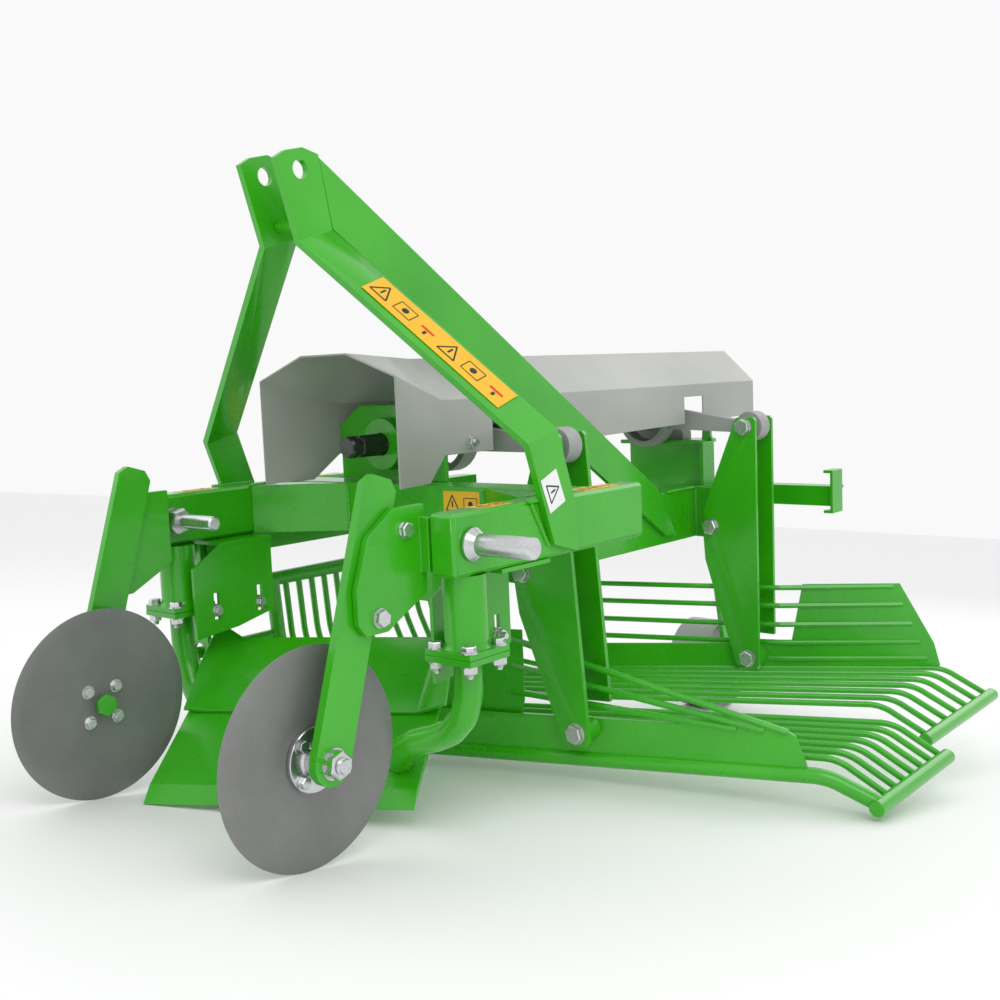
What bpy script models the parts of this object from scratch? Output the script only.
"""Mounted potato harvester with two shaking sieves, for a small tractor's three-point linkage.

Everything is laid out in the machine's own frame: X to the machine's left, Y to the rear, Z up, with the
origin midway between the two lower hitch pins. One empty then sets the machine down on the floor, resting
on its two coulter discs and its rear wheel with the hitch a little low.
"""
import math

import bmesh
import bpy
from mathutils import Matrix, Vector

GAP = 0.0003  # between faces of separate pieces that touch
BOLT_SIDES = 12
ROUND_SIDES = 20

# how the machine stands
PITCH = math.radians(7.745)  # nose down, about the hitch axis
SET_BACK = (-0.0926, -0.5689)  # moves the machine over the origin

# frame
BEAM_WIDTH = 0.043
BEAM_HALF_HEIGHT = 0.040
BEAM_INNER = 0.286  # from the middle plane to the beam's inner face
BEAM_FRONT = -0.032
BEAM_REAR = 0.382
CROSS_FRONT = 0.240
CROSS_REAR = 0.300
CORNER_FRONT = 0.155
CORNER_WIDTH = 0.0525
CORNER_REACH = 0.145
SPINE_HALF_WIDTH = 0.031
SPINE_HEIGHT = 0.100
SPINE_REAR = 1.160

# hitch
PIN_RADIUS = 0.014
PIN_SHANK_RADIUS = 0.011
PIN_OUTER_END = 0.4273
PIN_INNER_END = 0.1788
PIN_COLLAR_RADIUS = 0.021
PIN_COLLAR_WIDTH = 0.012
PIN_NUT_RADIUS = 0.0205
MAST_THICKNESS = 0.010
MAST_INNER = 0.0313
MAST_HOLE = (0.0124, 0.4875)
MAST_HOLE_RADIUS = 0.01275
MAST_BEND_HEIGHT = 0.391
MAST_FOOT_HEIGHT = 0.112
BRACE_WIDTH = 0.0775
SPACER_RADIUS = 0.008
SPACER_PLACE = (0.030, 0.420)

# drive
SHAFT_X = -0.091
SHAFT_Z = 0.100
SHAFT_RADIUS = 0.0175
SHAFT_FRONT = 0.192
SHAFT_REAR = 1.130
REAR_BEARING_Y = 1.104
THROW = 0.008
ECCENTRIC_RADIUS = 0.025
PITMAN_BORE = 0.0465
PITMAN_RING = 0.058
PITMAN_EYE = 0.029
PITMAN_WIDTH = 0.034
SHEET = 0.003
HOOD_MOUTH = 0.152
HOOD_CREASE = 0.286
HOOD_REAR = 0.402
HOOD_MOUTH_HALF = 0.153
COVER_HALF = 0.121
COVER_ROOF_HALF = 0.052
COVER_SHOULDER = 0.1675
COVER_TOP = 0.2338
COVER_REAR = 1.283
NOTCH_HALF = 0.036
NOTCH_TOP = 0.143

# levers, in the plane of the front plate's face
LEVER_PLATE = 0.008
LEVER_SPREAD = 0.058  # clear space between the two plates
FRONT_LEVER_Y = 0.396
REAR_LEVER_Y = 0.996
PIVOT = (0.084, -0.114)
PIVOT_BOLT = 0.009
TOP_BOLT = (0.160, 0.083)
FOOT_BOLT = (0.161, -0.372)
SHORT_PLATE_Z = -0.335  # the rear plate of each lever ends above the sieve's bush
FOOT_BOLT_LENGTH = 0.030
FRONT_LEVER_TURN = math.radians(4.5)  # the front lever is at the other end of its swing

# sieves
ROD = 0.0055
FLAT = math.cos(math.radians(30))  # a six-sided rod's flats lie this share of its radius out
RAIL = 0.0125
DECK_Z = -0.400
RODS = 7
FAR_X = -0.360
FAR_Z = -0.137
FRONT_SLOPE = math.tan(math.radians(19.5))
REAR_SLOPE = math.tan(math.radians(29.7))
GUARD_PLATE = 0.005
TUBE_Z = -0.455
FRONT_TUBE_X = 0.600
REAR_TUBE_X = 0.540
BUSH_RADIUS = 0.018
BUSH_BORE = 0.0088
FAR_HANGER_Z = -0.055
BUSH_Z = -0.235
HANGER_EYE = 0.027
STUB = 0.010
STUB_ROOM = 0.0065  # the hanger's lower eye is open round the sieve's stub

# ground tools
DISC_RADIUS = 0.1355
DISC_X = 0.222
DISC_AXLE = (-0.182, -0.237)
DISC_AXLE_RADIUS = 0.010
WHEEL_RADIUS = 0.100
WHEEL_WIDTH = 0.090
WHEEL_AXLE = (-0.090, 1.270)
SHARE_CORNER = (-0.1560, -0.1693, -0.3748)
SHARE_YAW = math.radians(30.0)
SHARE_RISE = math.radians(25.0)
SHARE_LENGTH = 0.390
SHARE_DEPTH = 0.215
SHARE_THICKNESS = 0.010
LEG = (0.3005, 0.015)
LEG_RADIUS = 0.028
SHIN_RADIUS = 0.018
FLANGE_HALF = 0.038
FLANGE_THICKNESS = 0.008
FLANGE_Z = -0.133

# the discs stand on the floor, and the rear wheel reaches the same floor
HITCH_HEIGHT = DISC_RADIUS - DISC_AXLE[0] * math.sin(PITCH) - DISC_AXLE[1] * math.cos(PITCH)
WHEEL_Z = (WHEEL_RADIUS - HITCH_HEIGHT - WHEEL_AXLE[1] * math.sin(PITCH)) / math.cos(PITCH)

COLOURS = {
    "paint": ((0.075, 0.42, 0.015), 0.35, 0.0),
    "cover_paint": ((0.36, 0.37, 0.35), 0.45, 0.0),
    "bare_disc": ((0.27, 0.27, 0.27), 0.5, 0.6),
    "zinc": ((0.62, 0.63, 0.64), 0.3, 1.0),
    "shaft_steel": ((0.09, 0.09, 0.095), 0.4, 0.8),
    "wheel_paint": ((0.42, 0.43, 0.43), 0.5, 0.0),
}


def clear_scene():
    """Start from nothing."""
    for item in list(bpy.data.objects):
        bpy.data.objects.remove(item, do_unlink=True)


def new_collection(name):
    """A collection in the scene."""
    made = bpy.data.collections.new(name)
    bpy.context.scene.collection.children.link(made)
    return made


def make_material(name):
    """One finish from the table of colours."""
    colour, roughness, metallic = COLOURS[name]
    made = bpy.data.materials.new(name)
    made.use_nodes = True
    shader = made.node_tree.nodes["Principled BSDF"]
    shader.inputs["Base Color"].default_value = (*colour, 1.0)
    shader.inputs["Roughness"].default_value = roughness
    shader.inputs["Metallic"].default_value = metallic
    made.diffuse_color = (*colour, 1.0)
    return made


clear_scene()
PARTS = new_collection("potato_harvester")
MATERIALS = {name: make_material(name) for name in COLOURS}


# ---------------------------------------------------------------- shapes

def link_mesh(name, mesh):
    """An object that holds the mesh, in the parts' collection."""
    made = bpy.data.objects.new(name, mesh)
    PARTS.objects.link(made)
    return made


def from_bmesh(name, shape):
    """Turn a bmesh into an object."""
    mesh = bpy.data.meshes.new(name)
    shape.to_mesh(mesh)
    shape.free()
    return link_mesh(name, mesh)


def baked(item):
    """The object as its modifiers or its curve make it, welded, as a plain mesh in the machine's frame."""
    bpy.context.view_layer.update()
    depsgraph = bpy.context.evaluated_depsgraph_get()
    mesh = bpy.data.meshes.new_from_object(item.evaluated_get(depsgraph))
    mesh.transform(item.matrix_world)
    shape = bmesh.new()
    shape.from_mesh(mesh)
    bmesh.ops.remove_doubles(shape, verts=shape.verts, dist=1e-6)
    bmesh.ops.recalc_face_normals(shape, faces=shape.faces)
    shape.to_mesh(mesh)
    shape.free()
    name = item.name
    bpy.data.objects.remove(item, do_unlink=True)
    return link_mesh(name, mesh)


def block(name, low, high):
    """A box between two corners."""
    shape = bmesh.new()
    bmesh.ops.create_cube(shape, size=1.0)
    size = Vector(high) - Vector(low)
    middle = (Vector(high) + Vector(low)) / 2
    bmesh.ops.transform(shape, matrix=Matrix.Translation(middle) @ Matrix.Diagonal((*size, 1)), verts=shape.verts)
    return from_bmesh(name, shape)


def bar(name, start, end, radius, sides=ROUND_SIDES, turn=0.0):
    """A round or many-sided bar between two points."""
    start = Vector(start)
    along = Vector(end) - start
    shape = bmesh.new()
    bmesh.ops.create_cone(shape, cap_ends=True, segments=sides, radius1=radius, radius2=radius,
                          depth=along.length)
    place = Matrix.Translation(start + along / 2) @ along.to_track_quat("Z", "Y").to_matrix().to_4x4()
    bmesh.ops.transform(shape, matrix=place @ Matrix.Rotation(turn, 4, "Z"), verts=shape.verts)
    return from_bmesh(name, shape)


def pipe(name, points, radius, resolution=2):
    """A bent rod or tube through the points."""
    curve = bpy.data.curves.new(name, "CURVE")
    curve.dimensions = "3D"
    curve.bevel_depth = radius
    curve.bevel_resolution = resolution
    curve.use_fill_caps = True
    spline = curve.splines.new("POLY")
    spline.points.add(len(points) - 1)
    for place, point in zip(spline.points, points):
        place.co = (*point, 1.0)
    made = bpy.data.objects.new(name, curve)
    PARTS.objects.link(made)
    return baked(made)


def circle(centre, radius, sides=ROUND_SIDES):
    """The corners of a round hole or boss in a flat outline."""
    steps = [2 * math.pi * step / sides for step in range(sides)]
    return [(centre[0] + radius * math.cos(angle), centre[1] + radius * math.sin(angle)) for angle in steps]


def arc(centre, radius, first, last, steps=6):
    """Points along an arc, angles in degrees."""
    angles = [math.radians(first + (last - first) * step / steps) for step in range(steps + 1)]
    return [(centre[0] + radius * math.cos(angle), centre[1] + radius * math.sin(angle)) for angle in angles]


def cut_plate(name, outlines, thickness, place):
    """A flat plate: the first outline is its edge and the others are holes; place sets its middle plane."""
    curve = bpy.data.curves.new(name, "CURVE")
    curve.dimensions = "2D"
    curve.fill_mode = "BOTH"
    curve.extrude = thickness / 2
    for outline in outlines:
        spline = curve.splines.new("POLY")
        spline.points.add(len(outline) - 1)
        for corner, point in zip(spline.points, outline):
            corner.co = (point[0], point[1], 0.0, 1.0)
        spline.use_cyclic_u = True
    made = bpy.data.objects.new(name, curve)
    made.matrix_world = place
    PARTS.objects.link(made)
    return baked(made)


def across(x):
    """Outline (y, z), standing in the plane at x."""
    return Matrix(((0, 0, 1, x), (1, 0, 0, 0), (0, 1, 0, 0), (0, 0, 0, 1)))


def along(y):
    """Outline (x, z), standing in the plane at y."""
    return Matrix(((1, 0, 0, 0), (0, 0, -1, y), (0, 1, 0, 0), (0, 0, 0, 1)))


def level(z):
    """Outline (x, y), lying in the plane at z."""
    return Matrix.Translation((0, 0, z))


def turned(name, profile, place, sides=36):
    """A ring turned from a closed profile of (radius, height) about the local Z axis."""
    shape = bmesh.new()
    corners = [shape.verts.new((radius, 0.0, height)) for radius, height in profile]
    for here, there in zip(corners, corners[1:] + corners[:1]):
        shape.edges.new((here, there))
    made = from_bmesh(name, shape)
    screw = made.modifiers.new("turn", "SCREW")
    screw.steps = sides
    screw.render_steps = sides
    screw.use_merge_vertices = True
    screw.merge_threshold = 1e-5
    made.matrix_world = place
    return baked(made)


def sheet(name, rows, thickness, offset=0.0):
    """A shell from rows of points, as one open surface given its wall."""
    shape = bmesh.new()
    grid = [[shape.verts.new(point) for point in row] for row in rows]
    for upper, lower in zip(grid, grid[1:]):
        for place in range(len(upper) - 1):
            shape.faces.new((upper[place], upper[place + 1], lower[place + 1], lower[place]))
    made = from_bmesh(name, shape)
    wall = made.modifiers.new("wall", "SOLIDIFY")
    wall.thickness = thickness
    wall.offset = offset
    wall.use_even_offset = True
    return baked(made)


def joined(name, first, others, operation="UNION"):
    """One body from several by exact Booleans; the others are used up."""
    for other in others:
        step = first.modifiers.new("step", "BOOLEAN")
        step.operation = operation
        step.solver = "EXACT"
        step.object = other
        mesh_item = baked(first)
        bpy.data.objects.remove(other, do_unlink=True)
        first = mesh_item
    first.name = name
    first.data.name = name
    return first


def trimmed(name, first, cutters):
    """The body without what the cutters take away."""
    return joined(name, first, cutters, "DIFFERENCE")


def finish(item, material, axis_point=None):
    """Dress a node, hang it on the stand and put its own empty on its joint's axis where it moves."""
    item.data.materials.clear()
    item.data.materials.append(MATERIALS[material])
    item.data.shade_smooth()
    item.data.set_sharp_from_angle(angle=math.radians(35))
    if axis_point is None:
        item.parent = STAND
        return item
    axis = bpy.data.objects.new(item.name + "_axis", None)
    PARTS.objects.link(axis)
    axis.parent = STAND
    axis.location = axis_point
    item.parent = axis
    item.location = -Vector(axis_point)
    return item


STAND = bpy.data.objects.new("stand", None)
PARTS.objects.link(STAND)
STAND_PLACE = Matrix.Translation((*SET_BACK, HITCH_HEIGHT)) @ Matrix.Rotation(PITCH, 4, "X")


# ---------------------------------------------------------------- frame

def hitch_beam(side, word):
    """One longitudinal tube with its pin bore."""
    inner = side * BEAM_INNER
    outer = side * (BEAM_INNER + BEAM_WIDTH)
    beam = block("beam", (min(inner, outer), BEAM_FRONT, -BEAM_HALF_HEIGHT),
                 (max(inner, outer), BEAM_REAR, BEAM_HALF_HEIGHT))
    edge = beam.modifiers.new("edge", "BEVEL")
    edge.width = 0.005
    edge.segments = 1
    beam = baked(beam)
    bore = bar("bore", (side * 0.25, 0, 0), (side * 0.36, 0, 0), PIN_SHANK_RADIUS + GAP)
    finish(trimmed(word + "_hitch_beam", beam, [bore]), "paint")


def lower_pin(side, word):
    """Hitch pin with its collar outside the beam and its nut inside."""
    outer_face = BEAM_INNER + BEAM_WIDTH + GAP
    shank = bar("shank", (side * PIN_INNER_END, 0, 0), (side * outer_face, 0, 0), PIN_SHANK_RADIUS)
    collar = bar("collar", (side * outer_face, 0, 0), (side * (outer_face + PIN_COLLAR_WIDTH), 0, 0),
                 PIN_COLLAR_RADIUS)
    stub = bar("stub", (side * (outer_face + 0.002), 0, 0), (side * PIN_OUTER_END, 0, 0), PIN_RADIUS)
    nut = bar("nut", (side * (BEAM_INNER - GAP - 0.030), 0, 0), (side * (BEAM_INNER - GAP), 0, 0),
              PIN_NUT_RADIUS, sides=6)
    finish(joined(word + "_lower_pin", shank, [collar, stub, nut]), "zinc")


def corner_brace(side, word):
    """Short diagonal tube between beam and cross-beam."""
    inner = BEAM_INNER - GAP
    rear = CROSS_FRONT - GAP
    slope = (rear - CORNER_FRONT) / (inner - CORNER_REACH)
    outline = [(inner, CORNER_FRONT), (inner, CORNER_FRONT + CORNER_WIDTH),
               (inner - (rear - CORNER_FRONT - CORNER_WIDTH) / slope, rear), (CORNER_REACH, rear)]
    outline = [(side * x, y) for x, y in outline]
    made = cut_plate(word + "_corner_brace", [outline], 2 * BEAM_HALF_HEIGHT - 0.002, level(0))
    finish(made, "paint")


def frame_members():
    """Beams, cross-beam, spine and side bar."""
    for side, word in ((1, "left"), (-1, "right")):
        hitch_beam(side, word)
        lower_pin(side, word)
        corner_brace(side, word)
    inner = BEAM_INNER - GAP
    finish(block("cross_beam", (-inner, CROSS_FRONT, -BEAM_HALF_HEIGHT), (inner, CROSS_REAR, BEAM_HALF_HEIGHT)),
           "paint")
    top = -BEAM_HALF_HEIGHT - GAP
    finish(block("central_beam", (-SPINE_HALF_WIDTH, CROSS_FRONT, top - SPINE_HEIGHT),
                 (SPINE_HALF_WIDTH, SPINE_REAR, top)), "paint")
    outer = -(BEAM_INNER + BEAM_WIDTH + GAP + MAST_THICKNESS + GAP)
    rail = block("rail", (outer - 0.040, 0.100, -0.078), (outer, 0.780, 0.0))
    pegs = [bar("peg", (FAR_X, 0.079, FAR_HANGER_Z), (FAR_X, 0.110, FAR_HANGER_Z), 0.008),
            bar("peg", (FAR_X, 0.770, FAR_HANGER_Z), (FAR_X, 0.801, FAR_HANGER_Z), 0.008)]
    heads = [bar("head", (FAR_X, 0.071, FAR_HANGER_Z), (FAR_X, 0.080, FAR_HANGER_Z), 0.014, 6),
             bar("head", (FAR_X, 0.800, FAR_HANGER_Z), (FAR_X, 0.809, FAR_HANGER_Z), 0.014, 6)]
    strut = block("strut", (outer - 0.004, 0.600, -0.070), (-SPINE_HALF_WIDTH - GAP, 0.640, -0.045))
    finish(joined("right_side_bar", rail, pegs + heads + [strut]), "paint")


def mast_side(side, word):
    """Flat bar: an upright head with the top-link hole, an arm splayed outwards and a foot on the beam."""
    inner_x = side * (MAST_INNER + MAST_THICKNESS / 2)
    foot_x = side * (BEAM_INNER + BEAM_WIDTH + GAP + MAST_THICKNESS / 2)
    head = [(0.003, MAST_BEND_HEIGHT), (-0.030, 0.499), (-0.012, 0.510), (0.018, 0.517), (0.046, 0.511),
            (0.065, 0.409)]
    foot = [(0.106, MAST_FOOT_HEIGHT), (0.153, -0.021), (0.203, -0.036), (0.209, -0.028), (0.201, 0.033),
            (0.168, 0.128)]
    shape = bmesh.new()
    head_corners = [shape.verts.new((inner_x, y, z)) for y, z in head]
    foot_corners = [shape.verts.new((foot_x, y, z)) for y, z in foot]
    shape.faces.new(head_corners)
    shape.faces.new((head_corners[0], head_corners[-1], foot_corners[-1], foot_corners[0]))
    shape.faces.new(foot_corners)
    bmesh.ops.recalc_face_normals(shape, faces=shape.faces)
    made = from_bmesh("mast", shape)
    wall = made.modifiers.new("wall", "SOLIDIFY")
    wall.thickness = MAST_THICKNESS
    wall.offset = 0.0
    wall.use_even_offset = True
    made = baked(made)
    hole = bar("hole", (inner_x - 0.03, *MAST_HOLE), (inner_x + 0.03, *MAST_HOLE), MAST_HOLE_RADIUS)
    finish(trimmed("mast_" + word, made, [hole]), "paint")


def mast():
    """Both splayed bars, the round spacer between their heads, and the one long brace."""
    mast_side(1, "left")
    mast_side(-1, "right")
    reach = MAST_INNER - GAP
    finish(bar("mast_spacer", (-reach, *SPACER_PLACE), (reach, *SPACER_PLACE), SPACER_RADIUS), "paint")
    brace = [(0.0465 + GAP, 0.507), (0.874, -0.028), (0.936, -0.124), (0.900, -0.123), (0.0655, 0.412)]
    finish(cut_plate("mast_brace", [brace], MAST_THICKNESS, across(MAST_INNER + MAST_THICKNESS / 2)), "paint")


# ---------------------------------------------------------------- drive

def hood_row(y, half, low, shoulder, top, roof):
    """One cross-section of the folded sheet cover, from wall to wall."""
    points = [(half, low), (half, shoulder), (roof, top), (-roof, top), (-half, shoulder), (-half, low)]
    return [(SHAFT_X + x, y, z) for x, z in points]


def covers():
    """The flared hood over the input shaft and the long cover behind it."""
    share = (0.238 - HOOD_MOUTH) / (HOOD_CREASE - HOOD_MOUTH)
    middle_half = HOOD_MOUTH_HALF + share * (COVER_HALF - HOOD_MOUTH_HALF)
    rows = [hood_row(HOOD_MOUTH, HOOD_MOUTH_HALF, 0.043, 0.208, 0.2445, 0.051),
            hood_row(0.2375, middle_half, 0.043, 0.182, 0.2376, COVER_ROOF_HALF),
            hood_row(HOOD_CREASE, COVER_HALF, 0.082, COVER_SHOULDER, COVER_TOP, COVER_ROOF_HALF),
            hood_row(HOOD_REAR, COVER_HALF, 0.082, COVER_SHOULDER, COVER_TOP, COVER_ROOF_HALF)]
    finish(sheet("pto_hood", rows, SHEET, offset=1.0), "cover_paint")
    rows = [hood_row(HOOD_REAR + GAP, COVER_HALF, 0.079, COVER_SHOULDER, COVER_TOP, COVER_ROOF_HALF),
            hood_row(COVER_REAR, COVER_HALF, 0.095, COVER_SHOULDER, COVER_TOP, COVER_ROOF_HALF)]
    cover = sheet("cover", rows, SHEET, offset=1.0)
    near_wall = SHAFT_X + COVER_HALF
    slots = [block("slot", (near_wall - 0.012, pitman_y(lever) - NOTCH_HALF, 0.03),
                   (near_wall + 0.012, pitman_y(lever) + NOTCH_HALF, NOTCH_TOP))
             for lever in (FRONT_LEVER_Y, REAR_LEVER_Y)]
    finish(trimmed("drive_cover", cover, slots), "cover_paint")


def pitman_y(lever_y):
    """Middle of the space between a lever's two plates."""
    return lever_y + LEVER_PLATE + LEVER_SPREAD / 2


def drive_shaft():
    """Input shaft with its splined stub and its two opposed eccentrics."""
    shaft = bar("shaft", (SHAFT_X, SHAFT_FRONT, SHAFT_Z), (SHAFT_X, SHAFT_REAR, SHAFT_Z), SHAFT_RADIUS, 24)
    cams = []
    for lever, throw in ((FRONT_LEVER_Y, -THROW), (REAR_LEVER_Y, THROW)):
        middle = pitman_y(lever)
        reach = PITMAN_WIDTH / 2 + 0.004
        cams.append(bar("cam", (SHAFT_X + throw, middle - reach, SHAFT_Z), (SHAFT_X + throw, middle + reach, SHAFT_Z),
                        ECCENTRIC_RADIUS, 24))
    finish(joined("drive_shaft", shaft, cams), "shaft_steel", (SHAFT_X, SHAFT_FRONT, SHAFT_Z))


def bearings():
    """Front bearing in its transverse plate on the cross-beam, and the rear pedestal with its bearing."""
    inner = COVER_HALF - SHEET - GAP
    top = BEAM_HALF_HEIGHT + GAP
    bore = circle((SHAFT_X, SHAFT_Z), SHAFT_RADIUS + GAP, 24)
    plate = [(SHAFT_X - inner, top), (SHAFT_X + inner, top), (SHAFT_X + inner, 0.130), (SHAFT_X + 0.070, 0.162),
             (SHAFT_X - 0.070, 0.162), (SHAFT_X - inner, 0.130)]
    front = cut_plate("plate", [plate, bore], 0.006, along(0.2925))
    ring = cut_plate("ring", [circle((SHAFT_X, SHAFT_Z), 0.042, 24), bore], 0.030, along(0.2805))
    finish(joined("front_bearing", front, [ring]), "paint")
    top = -BEAM_HALF_HEIGHT + GAP - GAP
    stand = [(SHAFT_X - 0.081, top), (SPINE_HALF_WIDTH, top), (SPINE_HALF_WIDTH, 0.050),
             (SHAFT_X + inner, 0.060), (SHAFT_X + inner, 0.110), (SHAFT_X + inner - 0.016, 0.110),
             (SHAFT_X + inner - 0.020, 0.0527), (SHAFT_X - 0.081, 0.0527)]
    plate = cut_plate("plate", [stand], 0.008, along(REAR_BEARING_Y))
    foot = block("foot", (SHAFT_X - 0.081, REAR_BEARING_Y - 0.040, 0.0447),
                 (SPINE_HALF_WIDTH - 0.010, REAR_BEARING_Y + 0.030, 0.0527))
    flange = block("flange", (SPINE_HALF_WIDTH - 0.008, REAR_BEARING_Y - 0.042, top),
                   (SPINE_HALF_WIDTH, REAR_BEARING_Y, 0.0447 + 0.004))
    finish(joined("rear_pedestal", plate, [foot, flange]), "paint")
    housing = [(SHAFT_X - 0.060, 0.053), (SHAFT_X + 0.060, 0.053), (SHAFT_X + 0.060, 0.066)]
    housing += arc((SHAFT_X, SHAFT_Z), 0.044, 0, 180, 10) + [(SHAFT_X - 0.060, 0.066)]
    finish(cut_plate("rear_bearing", [housing, bore], 0.034, along(REAR_BEARING_Y)), "cover_paint")


# ---------------------------------------------------------------- levers

def about_pivot(point, turn):
    """A point of the lever's outline, turned about its pivot."""
    x = point[0] - PIVOT[0]
    z = point[1] - PIVOT[1]
    return (PIVOT[0] + x * math.cos(turn) - z * math.sin(turn), PIVOT[1] + x * math.sin(turn) + z * math.cos(turn))


LEVER_OUTLINE = [(0.143, 0.101), (0.068, -0.080), (0.066, -0.135), (0.069, -0.181), (0.134, -0.388),
                 (0.141, -0.393), (0.178, -0.393), (0.184, -0.386), (0.185, 0.096), (0.180, 0.102)]


def lever(word, y, turn):
    """Two plates on a pivot bolt, with the bolts of the pitman and of the sieve."""
    outline = [about_pivot(point, turn) for point in LEVER_OUTLINE]
    front = cut_plate("front", [outline], LEVER_PLATE, along(y + LEVER_PLATE / 2))
    short = [point for point in LEVER_OUTLINE if point[1] > SHORT_PLATE_Z]
    place = LEVER_OUTLINE.index(short[3]) + 1
    short[place:place] = [(0.122, SHORT_PLATE_Z), (0.184, SHORT_PLATE_Z)]
    short = [about_pivot(point, turn) for point in short]
    rear = cut_plate("rear", [short], LEVER_PLATE, along(y + LEVER_PLATE * 1.5 + LEVER_SPREAD))
    pieces = [rear]
    reach = 2 * LEVER_PLATE + LEVER_SPREAD
    foot_reach = LEVER_PLATE + FOOT_BOLT_LENGTH
    for place, radius, end in ((PIVOT, PIVOT_BOLT, reach), (TOP_BOLT, 0.008, reach), (FOOT_BOLT, 0.008, foot_reach)):
        x, z = about_pivot(place, turn)
        pieces.append(bar("bolt", (x, y - 0.004, z), (x, y + end, z), radius, BOLT_SIDES))
        pieces.append(bar("head", (x, y - 0.009, z), (x, y + 0.001, z), 0.0135, 6))
        if end == reach:
            pieces.append(bar("nut", (x, y + reach - 0.001, z), (x, y + reach + 0.010, z), 0.0135, 6))
    finish(joined(word + "_lever", front, pieces), "paint", (PIVOT[0], y, PIVOT[1]))


def lug(word, y):
    """Bracket on the side of the spine that carries the lever's pivot bolt."""
    middle = pitman_y(y)
    x0 = SPINE_HALF_WIDTH + GAP
    outline = [(x0, -0.0405), (0.070, -0.0405)] + arc((PIVOT[0], PIVOT[1]), 0.027, 60, -90, 8) + [(x0, -0.1405)]
    bore = circle(PIVOT, PIVOT_BOLT + 0.0006, BOLT_SIDES)
    plate = cut_plate("plate", [outline, bore], 0.010, along(middle))
    sleeve = cut_plate("sleeve", [circle(PIVOT, 0.018, 16), bore], 0.036, along(middle))
    finish(joined(word + "_lug", plate, [sleeve]), "paint")


def pitman(word, y, turn, throw):
    """Connecting rod from the eccentric to the lever's top bolt."""
    middle = pitman_y(y)
    eye = about_pivot(TOP_BOLT, turn)
    centre = (SHAFT_X + throw, SHAFT_Z)
    ring = cut_plate("ring", [circle(centre, PITMAN_RING, 28), circle(centre, PITMAN_BORE, 28)], PITMAN_WIDTH,
                     along(middle))
    knuckle = cut_plate("eye", [circle(eye, PITMAN_EYE, 20), circle(eye, 0.0087, BOLT_SIDES)], PITMAN_WIDTH,
                        along(middle))
    blade = [(centre[0] + PITMAN_RING - 0.006, centre[1] - 0.022), (eye[0] - PITMAN_EYE + 0.005, eye[1] - 0.012),
             (eye[0] - PITMAN_EYE + 0.005, eye[1] + 0.012), (centre[0] + PITMAN_RING - 0.006, centre[1] + 0.022)]
    arm = cut_plate("arm", [blade], 0.018, along(middle))
    finish(joined(word + "_pitman", ring, [arm, knuckle]), "cover_paint", (eye[0], middle, eye[1]))


def hanger(word, y):
    """Flat link at the far side, pinned to the side bar and open round the sieve's stub."""
    top = (FAR_X, FAR_HANGER_Z)
    low = (FAR_X, BUSH_Z)
    outline = arc(top, 0.020, 0, 180, 8) + arc(low, HANGER_EYE, 180, 360, 10)
    holes = [circle(top, 0.0086, 16), circle(low, STUB + STUB_ROOM, 20)]
    finish(cut_plate(word + "_hanger", [outline] + holes, 0.008, along(y)), "paint", (FAR_X, y, FAR_HANGER_Z))


def levers():
    """Everything between the drive shaft and the sieves."""
    for word, y, turn, throw in (("front", FRONT_LEVER_Y, FRONT_LEVER_TURN, -THROW),
                                 ("rear", REAR_LEVER_Y, 0.0, THROW)):
        lug(word, y)
        lever(word, y, turn)
        pitman(word, y, turn, throw)
    hanger("front", 0.090)
    hanger("rear", 0.790)


# ---------------------------------------------------------------- sieves

def front_line(x):
    """Y of the front sieve's front rail, oblique in plan."""
    return 0.445 + (x - 0.200) * FRONT_SLOPE


def rear_line(x):
    """Y of the rear sieve's rear plate, oblique in plan."""
    return 1.040 + (x - FOOT_BOLT[0]) * REAR_SLOPE


def front_guard_line(x):
    """Y of the front guard's rods, which pass between the two plates of the front lever."""
    return 0.434 + (x - 0.150) * 0.32


def rear_guard_line(x):
    """Y of the rear guard's rods, which pass between the two plates of the rear lever."""
    return 1.034 + (x - 0.1325) * 0.34


def rod_path(far_y, near_y, near_x, deck_z):
    """A deck rod: down from the far rail, across the deck, and down to the near end tube."""
    stations = [(FAR_X, FAR_Z), (FAR_X + 0.008, -0.250), (FAR_X + 0.035, -0.330), (FAR_X + 0.085, -0.382),
                (FAR_X + 0.150, deck_z), (near_x - 0.075, deck_z), (near_x, TUBE_Z)]
    slope = (near_y - far_y) / (near_x - FAR_X)
    return [(x, far_y + slope * (x - FAR_X), height) for x, height in stations]


def grate(word, far_edges, near_edges, near_x, first_far, first_near, stub):
    """Deck rods between the far rail and the near end tube, with the stub that the hanger holds."""
    rail = bar("rail", (FAR_X, far_edges[0], FAR_Z), (FAR_X, far_edges[1], FAR_Z), RAIL, 12)
    pieces = [bar("tube", (near_x, near_edges[0], TUBE_Z), (near_x, near_edges[1], TUBE_Z), RAIL, 12)]
    inset = 0.014
    last_far = far_edges[1] - inset
    last_near = near_edges[1] - inset
    for step in range(1, RODS + 1):
        share = step / RODS
        path = rod_path(first_far + share * (last_far - first_far), first_near + share * (last_near - first_near),
                        near_x, DECK_Z)
        pieces.append(pipe("rod", path, ROD, 1))
    pieces.append(bar("stub", (FAR_X, stub[0], BUSH_Z), (FAR_X, stub[1], BUSH_Z), STUB, 12))
    return rail, pieces


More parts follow.
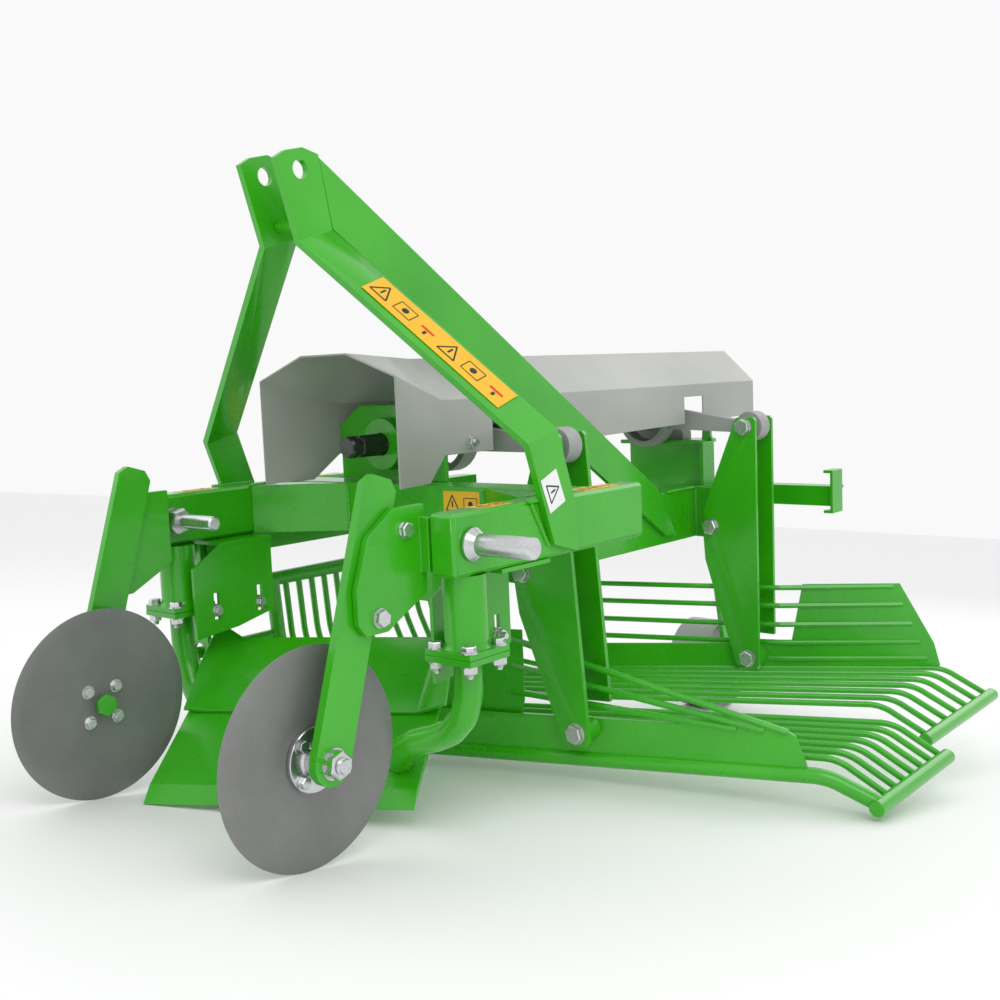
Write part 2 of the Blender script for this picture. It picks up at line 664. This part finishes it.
def on_line(line, slope, x, z):
    """Matrix of a plate that stands in the plane of an oblique line; outline (distance from x, z)."""
    length = math.hypot(1.0, slope)
    run = Vector((1.0 / length, slope / length, 0.0))
    normal = run.cross(Vector((0.0, 0.0, 1.0)))
    place = Matrix.Identity(4)
    place.col[0] = (*run, 0.0)
    place.col[1] = (0.0, 0.0, 1.0, 0.0)
    place.col[2] = (*normal, 0.0)
    place.col[3] = (x, line(x), z, 1.0)
    return place


def bush(foot, lever_y, plate_y):
    """Sleeve on the lever's foot bolt, reaching back to the sieve's plate."""
    start = lever_y + LEVER_PLATE + 0.0012
    ring = [circle(foot, BUSH_RADIUS, 16), circle(foot, BUSH_BORE, BOLT_SIDES)]
    return cut_plate("bush", ring, plate_y - start, along((start + plate_y) / 2))


def front_sieve():
    """Front grate with its heavy rail, and the plate and guard rods that stand on that rail."""
    last = FRONT_TUBE_X
    rail, pieces = grate("front", (0.240, 0.470), (0.566, 0.860), last, front_line(FAR_X), front_line(last),
                         (0.076, 0.260))
    heavy = pipe("heavy", rod_path(front_line(FAR_X), front_line(last), last, DECK_Z - 0.0175), RAIL, 1)
    finish(joined("front_sieve_grate", rail, [heavy] + pieces), "paint", FRONT_FOOT)

    foot = about_pivot(FOOT_BOLT, FRONT_LEVER_TURN)
    stretch = math.hypot(1.0, FRONT_SLOPE)
    low = DECK_Z - 0.0175 + RAIL * FLAT + GAP
    outline = [(-0.280 * stretch, low), (0.300 * stretch, low), (0.283 * stretch, -0.358), (0.270 * stretch, -0.349),
               (-0.270 * stretch, -0.349), (-0.280 * stretch, -0.358)]
    plate = cut_plate("plate", [outline], GUARD_PLATE, on_line(front_line, FRONT_SLOPE, 0.200, 0.0))
    pieces = [bush(foot, FRONT_LEVER_Y, front_line(foot[0]))]
    for start_z, end_x, end_z in ((-0.228, 0.474, -0.352), (-0.272, 0.440, -0.352), (-0.316, 0.400, -0.353)):
        points = [(0.050, front_guard_line(0.050), start_z), (end_x, front_guard_line(end_x), end_z)]
        pieces.append(pipe("guard", points, ROD, 1))
    deck_top = DECK_Z + ROD * FLAT + GAP
    corners = [(-0.140, deck_top), (0.004, deck_top), (0.020, -0.330), (0.020, -0.212),
               (-0.060, -0.212), (-0.140, -0.330)]
    pieces.append(cut_plate("wing", [corners], 0.004, on_line(front_guard_line, 0.32, 0.050, 0.0)))
    tie_x = 0.020
    pieces.append(block("tie", (tie_x, front_line(tie_x) - 0.001, -0.360),
                        (tie_x + 0.005, front_guard_line(tie_x) + 0.001, -0.352)))
    guard = joined("guard", plate, pieces)
    bore = bar("bore", (foot[0], 0.39, foot[1]), (foot[0], 0.50, foot[1]), BUSH_BORE, BOLT_SIDES)
    finish(trimmed("front_sieve_guard", guard, [bore]), "paint", FRONT_FOOT)


def rear_sieve():
    """Rear grate, and the plate, sheet and guard rods along its rear edge."""
    last = REAR_TUBE_X
    far_last = rear_line(FAR_X) + 0.014
    near_last = rear_line(last) + 0.014
    rail, pieces = grate("rear", (0.505, far_last), (0.920, near_last), last, 0.487, 0.893, (0.700, 0.804))
    finish(joined("rear_sieve_grate", rail, pieces), "paint", REAR_FOOT)

    stretch = math.hypot(1.0, REAR_SLOPE)
    low = DECK_Z + ROD * FLAT + GAP
    outline = [(-0.345 * stretch, low), (0.300 * stretch, low), (0.290 * stretch, -0.350), (0.235 * stretch, -0.232),
               (0.075 * stretch, -0.232), (0.055 * stretch, -0.350), (-0.335 * stretch, -0.350)]
    plate = cut_plate("plate", [outline], GUARD_PLATE, on_line(rear_line, REAR_SLOPE, FOOT_BOLT[0], 0.0))
    pieces = [bush(FOOT_BOLT, REAR_LEVER_Y, rear_line(FOOT_BOLT[0]))]
    for height, end_x in ((-0.238, 0.385), (-0.274, 0.400), (-0.312, 0.415)):
        points = [(-0.200, rear_guard_line(-0.200), height), (0.200, rear_guard_line(0.200), height),
                  (end_x, rear_line(end_x), height)]
        pieces.append(pipe("guard", points, ROD, 1))
    guard = joined("guard", plate, pieces)
    bore = bar("bore", (FOOT_BOLT[0], 0.98, FOOT_BOLT[1]), (FOOT_BOLT[0], 1.10, FOOT_BOLT[1]), BUSH_BORE, BOLT_SIDES)
    finish(trimmed("rear_sieve_guard", guard, [bore]), "paint", REAR_FOOT)


FRONT_FOOT = (about_pivot(FOOT_BOLT, FRONT_LEVER_TURN)[0], FRONT_LEVER_Y, about_pivot(FOOT_BOLT, FRONT_LEVER_TURN)[1])
REAR_FOOT = (FOOT_BOLT[0], REAR_LEVER_Y, FOOT_BOLT[1])


# ---------------------------------------------------------------- ground tools

def coulter(side, word):
    """Disc with its hub, the flat arm with the axle, and the holder on the beam."""
    y, z = DISC_AXLE
    profile = [(DISC_AXLE_RADIUS + 0.0006, 0.2442), (0.021, 0.2442), (0.021, 0.2315), (0.040, 0.2315),
               (0.040, 0.2245), (0.122, 0.2245), (DISC_RADIUS, 0.2225), (DISC_RADIUS, 0.2215), (0.122, 0.2195),
               (DISC_AXLE_RADIUS + 0.0006, 0.2195)]
    profile = [(radius, side * height) for radius, height in profile]
    place = Matrix.Translation((0, y, z)) @ across(0)
    finish(turned(word + "_disc", profile, place, 40), "bare_disc", (side * DISC_X, y, z))

    top = Vector((-0.080, 0.088))
    axle = Vector((y, z))
    lean = math.degrees(math.atan2(top.y - axle.y, top.x - axle.x))
    outline = arc(axle, 0.028, lean + 90, lean + 270, 8)
    direction = (top - axle).normalized()
    square = Vector((direction.y, -direction.x)) * 0.027
    outline += [tuple(top - direction * 0.012 + square), tuple(top + square * 0.55), tuple(top - square * 0.55),
                tuple(top - direction * 0.012 - square)]
    arm = cut_plate("arm", [outline], 0.012, across(side * 0.2554))
    pieces = [bar("axle", (side * 0.212, y, z), (side * 0.262, y, z), DISC_AXLE_RADIUS, 16),
              bar("inner_head", (side * 0.205, y, z), (side * 0.2135, y, z), 0.016, 6),
              bar("nut", (side * 0.2610, y, z), (side * 0.274, y, z), 0.017, 6)]
    finish(joined(word + "_disc_arm", arm, pieces), "paint")

    rear = -PIN_NUT_RADIUS - 0.001
    outline = [(rear, -0.060), (rear, 0.050), (-0.075, 0.050), (-0.118, 0.020), (-0.140, -0.040), (-0.140, -0.082),
               (-0.128, -0.097), (-0.092, -0.097)]
    holder = cut_plate("holder", [outline], 0.010, across(side * 0.2667))
    near, far = sorted((side * 0.2710, side * (BEAM_INNER - GAP)))
    web = block("web", (near, BEAM_FRONT + 0.001, -0.034), (far, rear, 0.034))
    finish(joined(word + "_disc_holder", holder, [web]), "paint")


def share_place():
    """Axes of the share: along the cutting edge, up the slope, and off the face."""
    along_edge = Vector((math.cos(SHARE_YAW), math.sin(SHARE_YAW), 0.0))
    flat = Vector((-math.sin(SHARE_YAW), math.cos(SHARE_YAW), 0.0))
    slope = flat * math.cos(SHARE_RISE) + Vector((0, 0, math.sin(SHARE_RISE)))
    face = along_edge.cross(slope)
    place = Matrix.Identity(4)
    place.col[0] = (*along_edge, 0.0)
    place.col[1] = (*slope, 0.0)
    place.col[2] = (*face, 0.0)
    place.col[3] = (*SHARE_CORNER, 1.0)
    return place


def share():
    """Bevelled blade, and the bolted lifting plate with its two folded wings."""
    place = share_place()
    turn = Matrix(((0, 0, 1, SHARE_LENGTH / 2), (1, 0, 0, 0), (0, 1, 0, 0), (0, 0, 0, 1)))
    edge = [(0.0, 0.0), (SHARE_DEPTH, 0.0), (SHARE_DEPTH, SHARE_THICKNESS), (0.030, SHARE_THICKNESS), (0.0, 0.0015)]
    finish(cut_plate("share", [edge], SHARE_LENGTH, place @ turn), "paint")

    middle = SHARE_THICKNESS + GAP + 0.003
    rows = []
    for up_slope, far_top, near_top in ((0.180, 0.018, 0.030), (0.270, 0.038, 0.062), (0.360, 0.045, 0.082)):
        row = [(-0.004, up_slope, far_top), (0.030, up_slope, middle), (SHARE_LENGTH - 0.030, up_slope, middle),
               (SHARE_LENGTH + 0.015, up_slope, near_top)]
        rows.append([place @ Vector(point) for point in row])
    finish(sheet("share_deck", rows, 0.006), "paint")


def leg(side, word):
    """Upright tube under the beam with its bolted flange, and the bent tube that carries the share."""
    x = side * LEG[0]
    y = LEG[1]
    top = -BEAM_HALF_HEIGHT - GAP
    flange = block("flange", (x - FLANGE_HALF, y - FLANGE_HALF, FLANGE_Z - FLANGE_THICKNESS),
                   (x + FLANGE_HALF, y + FLANGE_HALF, FLANGE_Z))
    finish(joined(word + "_upper_leg", bar("tube", (x, y, top), (x, y, FLANGE_Z - 0.001), LEG_RADIUS), [flange]),
           "paint")

    second = FLANGE_Z - FLANGE_THICKNESS - GAP
    flange = block("flange", (x - FLANGE_HALF, y - FLANGE_HALF, second - FLANGE_THICKNESS),
                   (x + FLANGE_HALF, y + FLANGE_HALF, second))
    path = NEAR_SHIN if side > 0 else FAR_SHIN
    shin = joined("shin", pipe("shin", [(x, y, second - 0.002)] + path, SHIN_RADIUS, 3), [flange])
    if side > 0:
        cutter = block("cutter", (-0.3, -0.3, -0.3), (1.0, 1.0, SHARE_THICKNESS + GAP))
    else:
        cutter = block("cutter", (-0.3, -0.3, -GAP), (1.0, 1.0, 0.3))
        cutter.data.transform(Matrix.Translation((0.298, 0, 0)))
    cutter.data.transform(share_place())
    finish(trimmed(word + "_lower_leg", shin, [cutter]), "paint")


NEAR_SHIN = [(0.300, 0.015, -0.195), (0.290, 0.015, -0.225), (0.268, 0.015, -0.248), (0.238, 0.015, -0.262),
             (0.200, 0.020, -0.274), (0.165, 0.032, -0.290), (0.135, 0.052, -0.312), (0.112, 0.075, -0.345)]
FAR_SHIN = [(-0.300, 0.015, -0.195), (-0.294, 0.014, -0.228), (-0.279, 0.012, -0.262), (-0.254, 0.010, -0.292),
            (-0.222, 0.010, -0.308), (-0.190, 0.012, -0.304), (-0.165, 0.014, -0.262)]


def side_plate(side, word):
    """Slotted plate that hangs inside the beam, with its flange under it."""
    outline = [(0.062, -0.0430), (0.158, -0.0430), (0.158, -0.162), (0.085, -0.178), (0.005, -0.186),
               (0.005, -0.075)]
    plate = cut_plate("plate", [outline], 0.006, across(side * 0.2507))
    near, far = sorted((side * 0.240, side * 0.260))
    slots = [block("slot", (near, y - 0.005, -0.160), (far, y + 0.005, -0.118)) for y in (0.045, 0.130)]
    near, far = sorted((side * 0.2470, side * 0.3250))
    flange = block("flange", (near, 0.060, -0.0463), (far, 0.160, -0.0403))
    plate = trimmed("plate", joined("plate", plate, [flange]), slots)
    plate.name = word + "_side_plate"
    finish(plate, "paint")


def rear_wheel():
    """Steel support wheel behind, on a trailing arm under the rear bar."""
    bore = DISC_AXLE_RADIUS + 0.0006
    half = WHEEL_WIDTH / 2
    wall = 0.004
    profile = [(bore, 0.050), (0.022, 0.050), (0.022, 0.002), (WHEEL_RADIUS - wall, 0.002), (WHEEL_RADIUS - wall, half),
               (WHEEL_RADIUS, half), (WHEEL_RADIUS, -half), (WHEEL_RADIUS - wall, -half), (WHEEL_RADIUS - wall, -0.002),
               (0.022, -0.002), (0.022, -0.050), (bore, -0.050)]
    x, y = WHEEL_AXLE
    place = Matrix.Translation((x, y, WHEEL_Z)) @ across(0)
    finish(turned("rear_wheel", profile, place, 36), "wheel_paint", (x, y, WHEEL_Z))

    bottom = -0.0850
    outline = [(1.1650, bottom - GAP), (1.2000, bottom - GAP)]
    outline += arc((y, WHEEL_Z), 0.024, 12, -168, 8)
    arm = cut_plate("arm", [outline], 0.010, across(x + 0.060))
    pieces = [bar("axle", (x + 0.062, y, WHEEL_Z), (x - 0.056, y, WHEEL_Z), DISC_AXLE_RADIUS, 16),
              bar("nut", (x - 0.0545, y, WHEEL_Z), (x - 0.064, y, WHEEL_Z), 0.017, 6)]
    finish(joined("wheel_arm", arm, pieces), "paint")

    front = SPINE_REAR + GAP
    upright = block("upright", (-0.272, front, bottom), (0.272, front + 0.006, -0.045))
    shelf = block("shelf", (-0.272, front, -0.051), (0.272, front + 0.040, -0.045))
    seat = block("seat", (x + 0.040, front, bottom), (x + 0.080, front + 0.040, -0.047))
    clamps = []
    for end in (-1, 1):
        near, far = sorted((end * 0.266, end * 0.272))
        clamps.append(block("clamp", (near, front - 0.012, -0.098), (far, front + 0.034, -0.012)))
        near, far = sorted((end * 0.252, end * 0.270))
        clamps.append(block("lip", (near, front - 0.012, -0.018), (far, front + 0.034, -0.012)))
        clamps.append(block("lip", (near, front - 0.012, -0.098), (far, front + 0.034, -0.092)))
    finish(joined("rear_bar", upright, [shelf, seat] + clamps), "paint")


def build():
    """Make every node, then set the machine on the floor."""
    frame_members()
    mast()
    covers()
    drive_shaft()
    bearings()
    levers()
    front_sieve()
    rear_sieve()
    share()
    for side, word in ((1, "left"), (-1, "right")):
        coulter(side, word)
        leg(side, word)
        side_plate(side, word)
    rear_wheel()
    STAND.matrix_world = STAND_PLACE
    bpy.context.view_layer.update()


build()
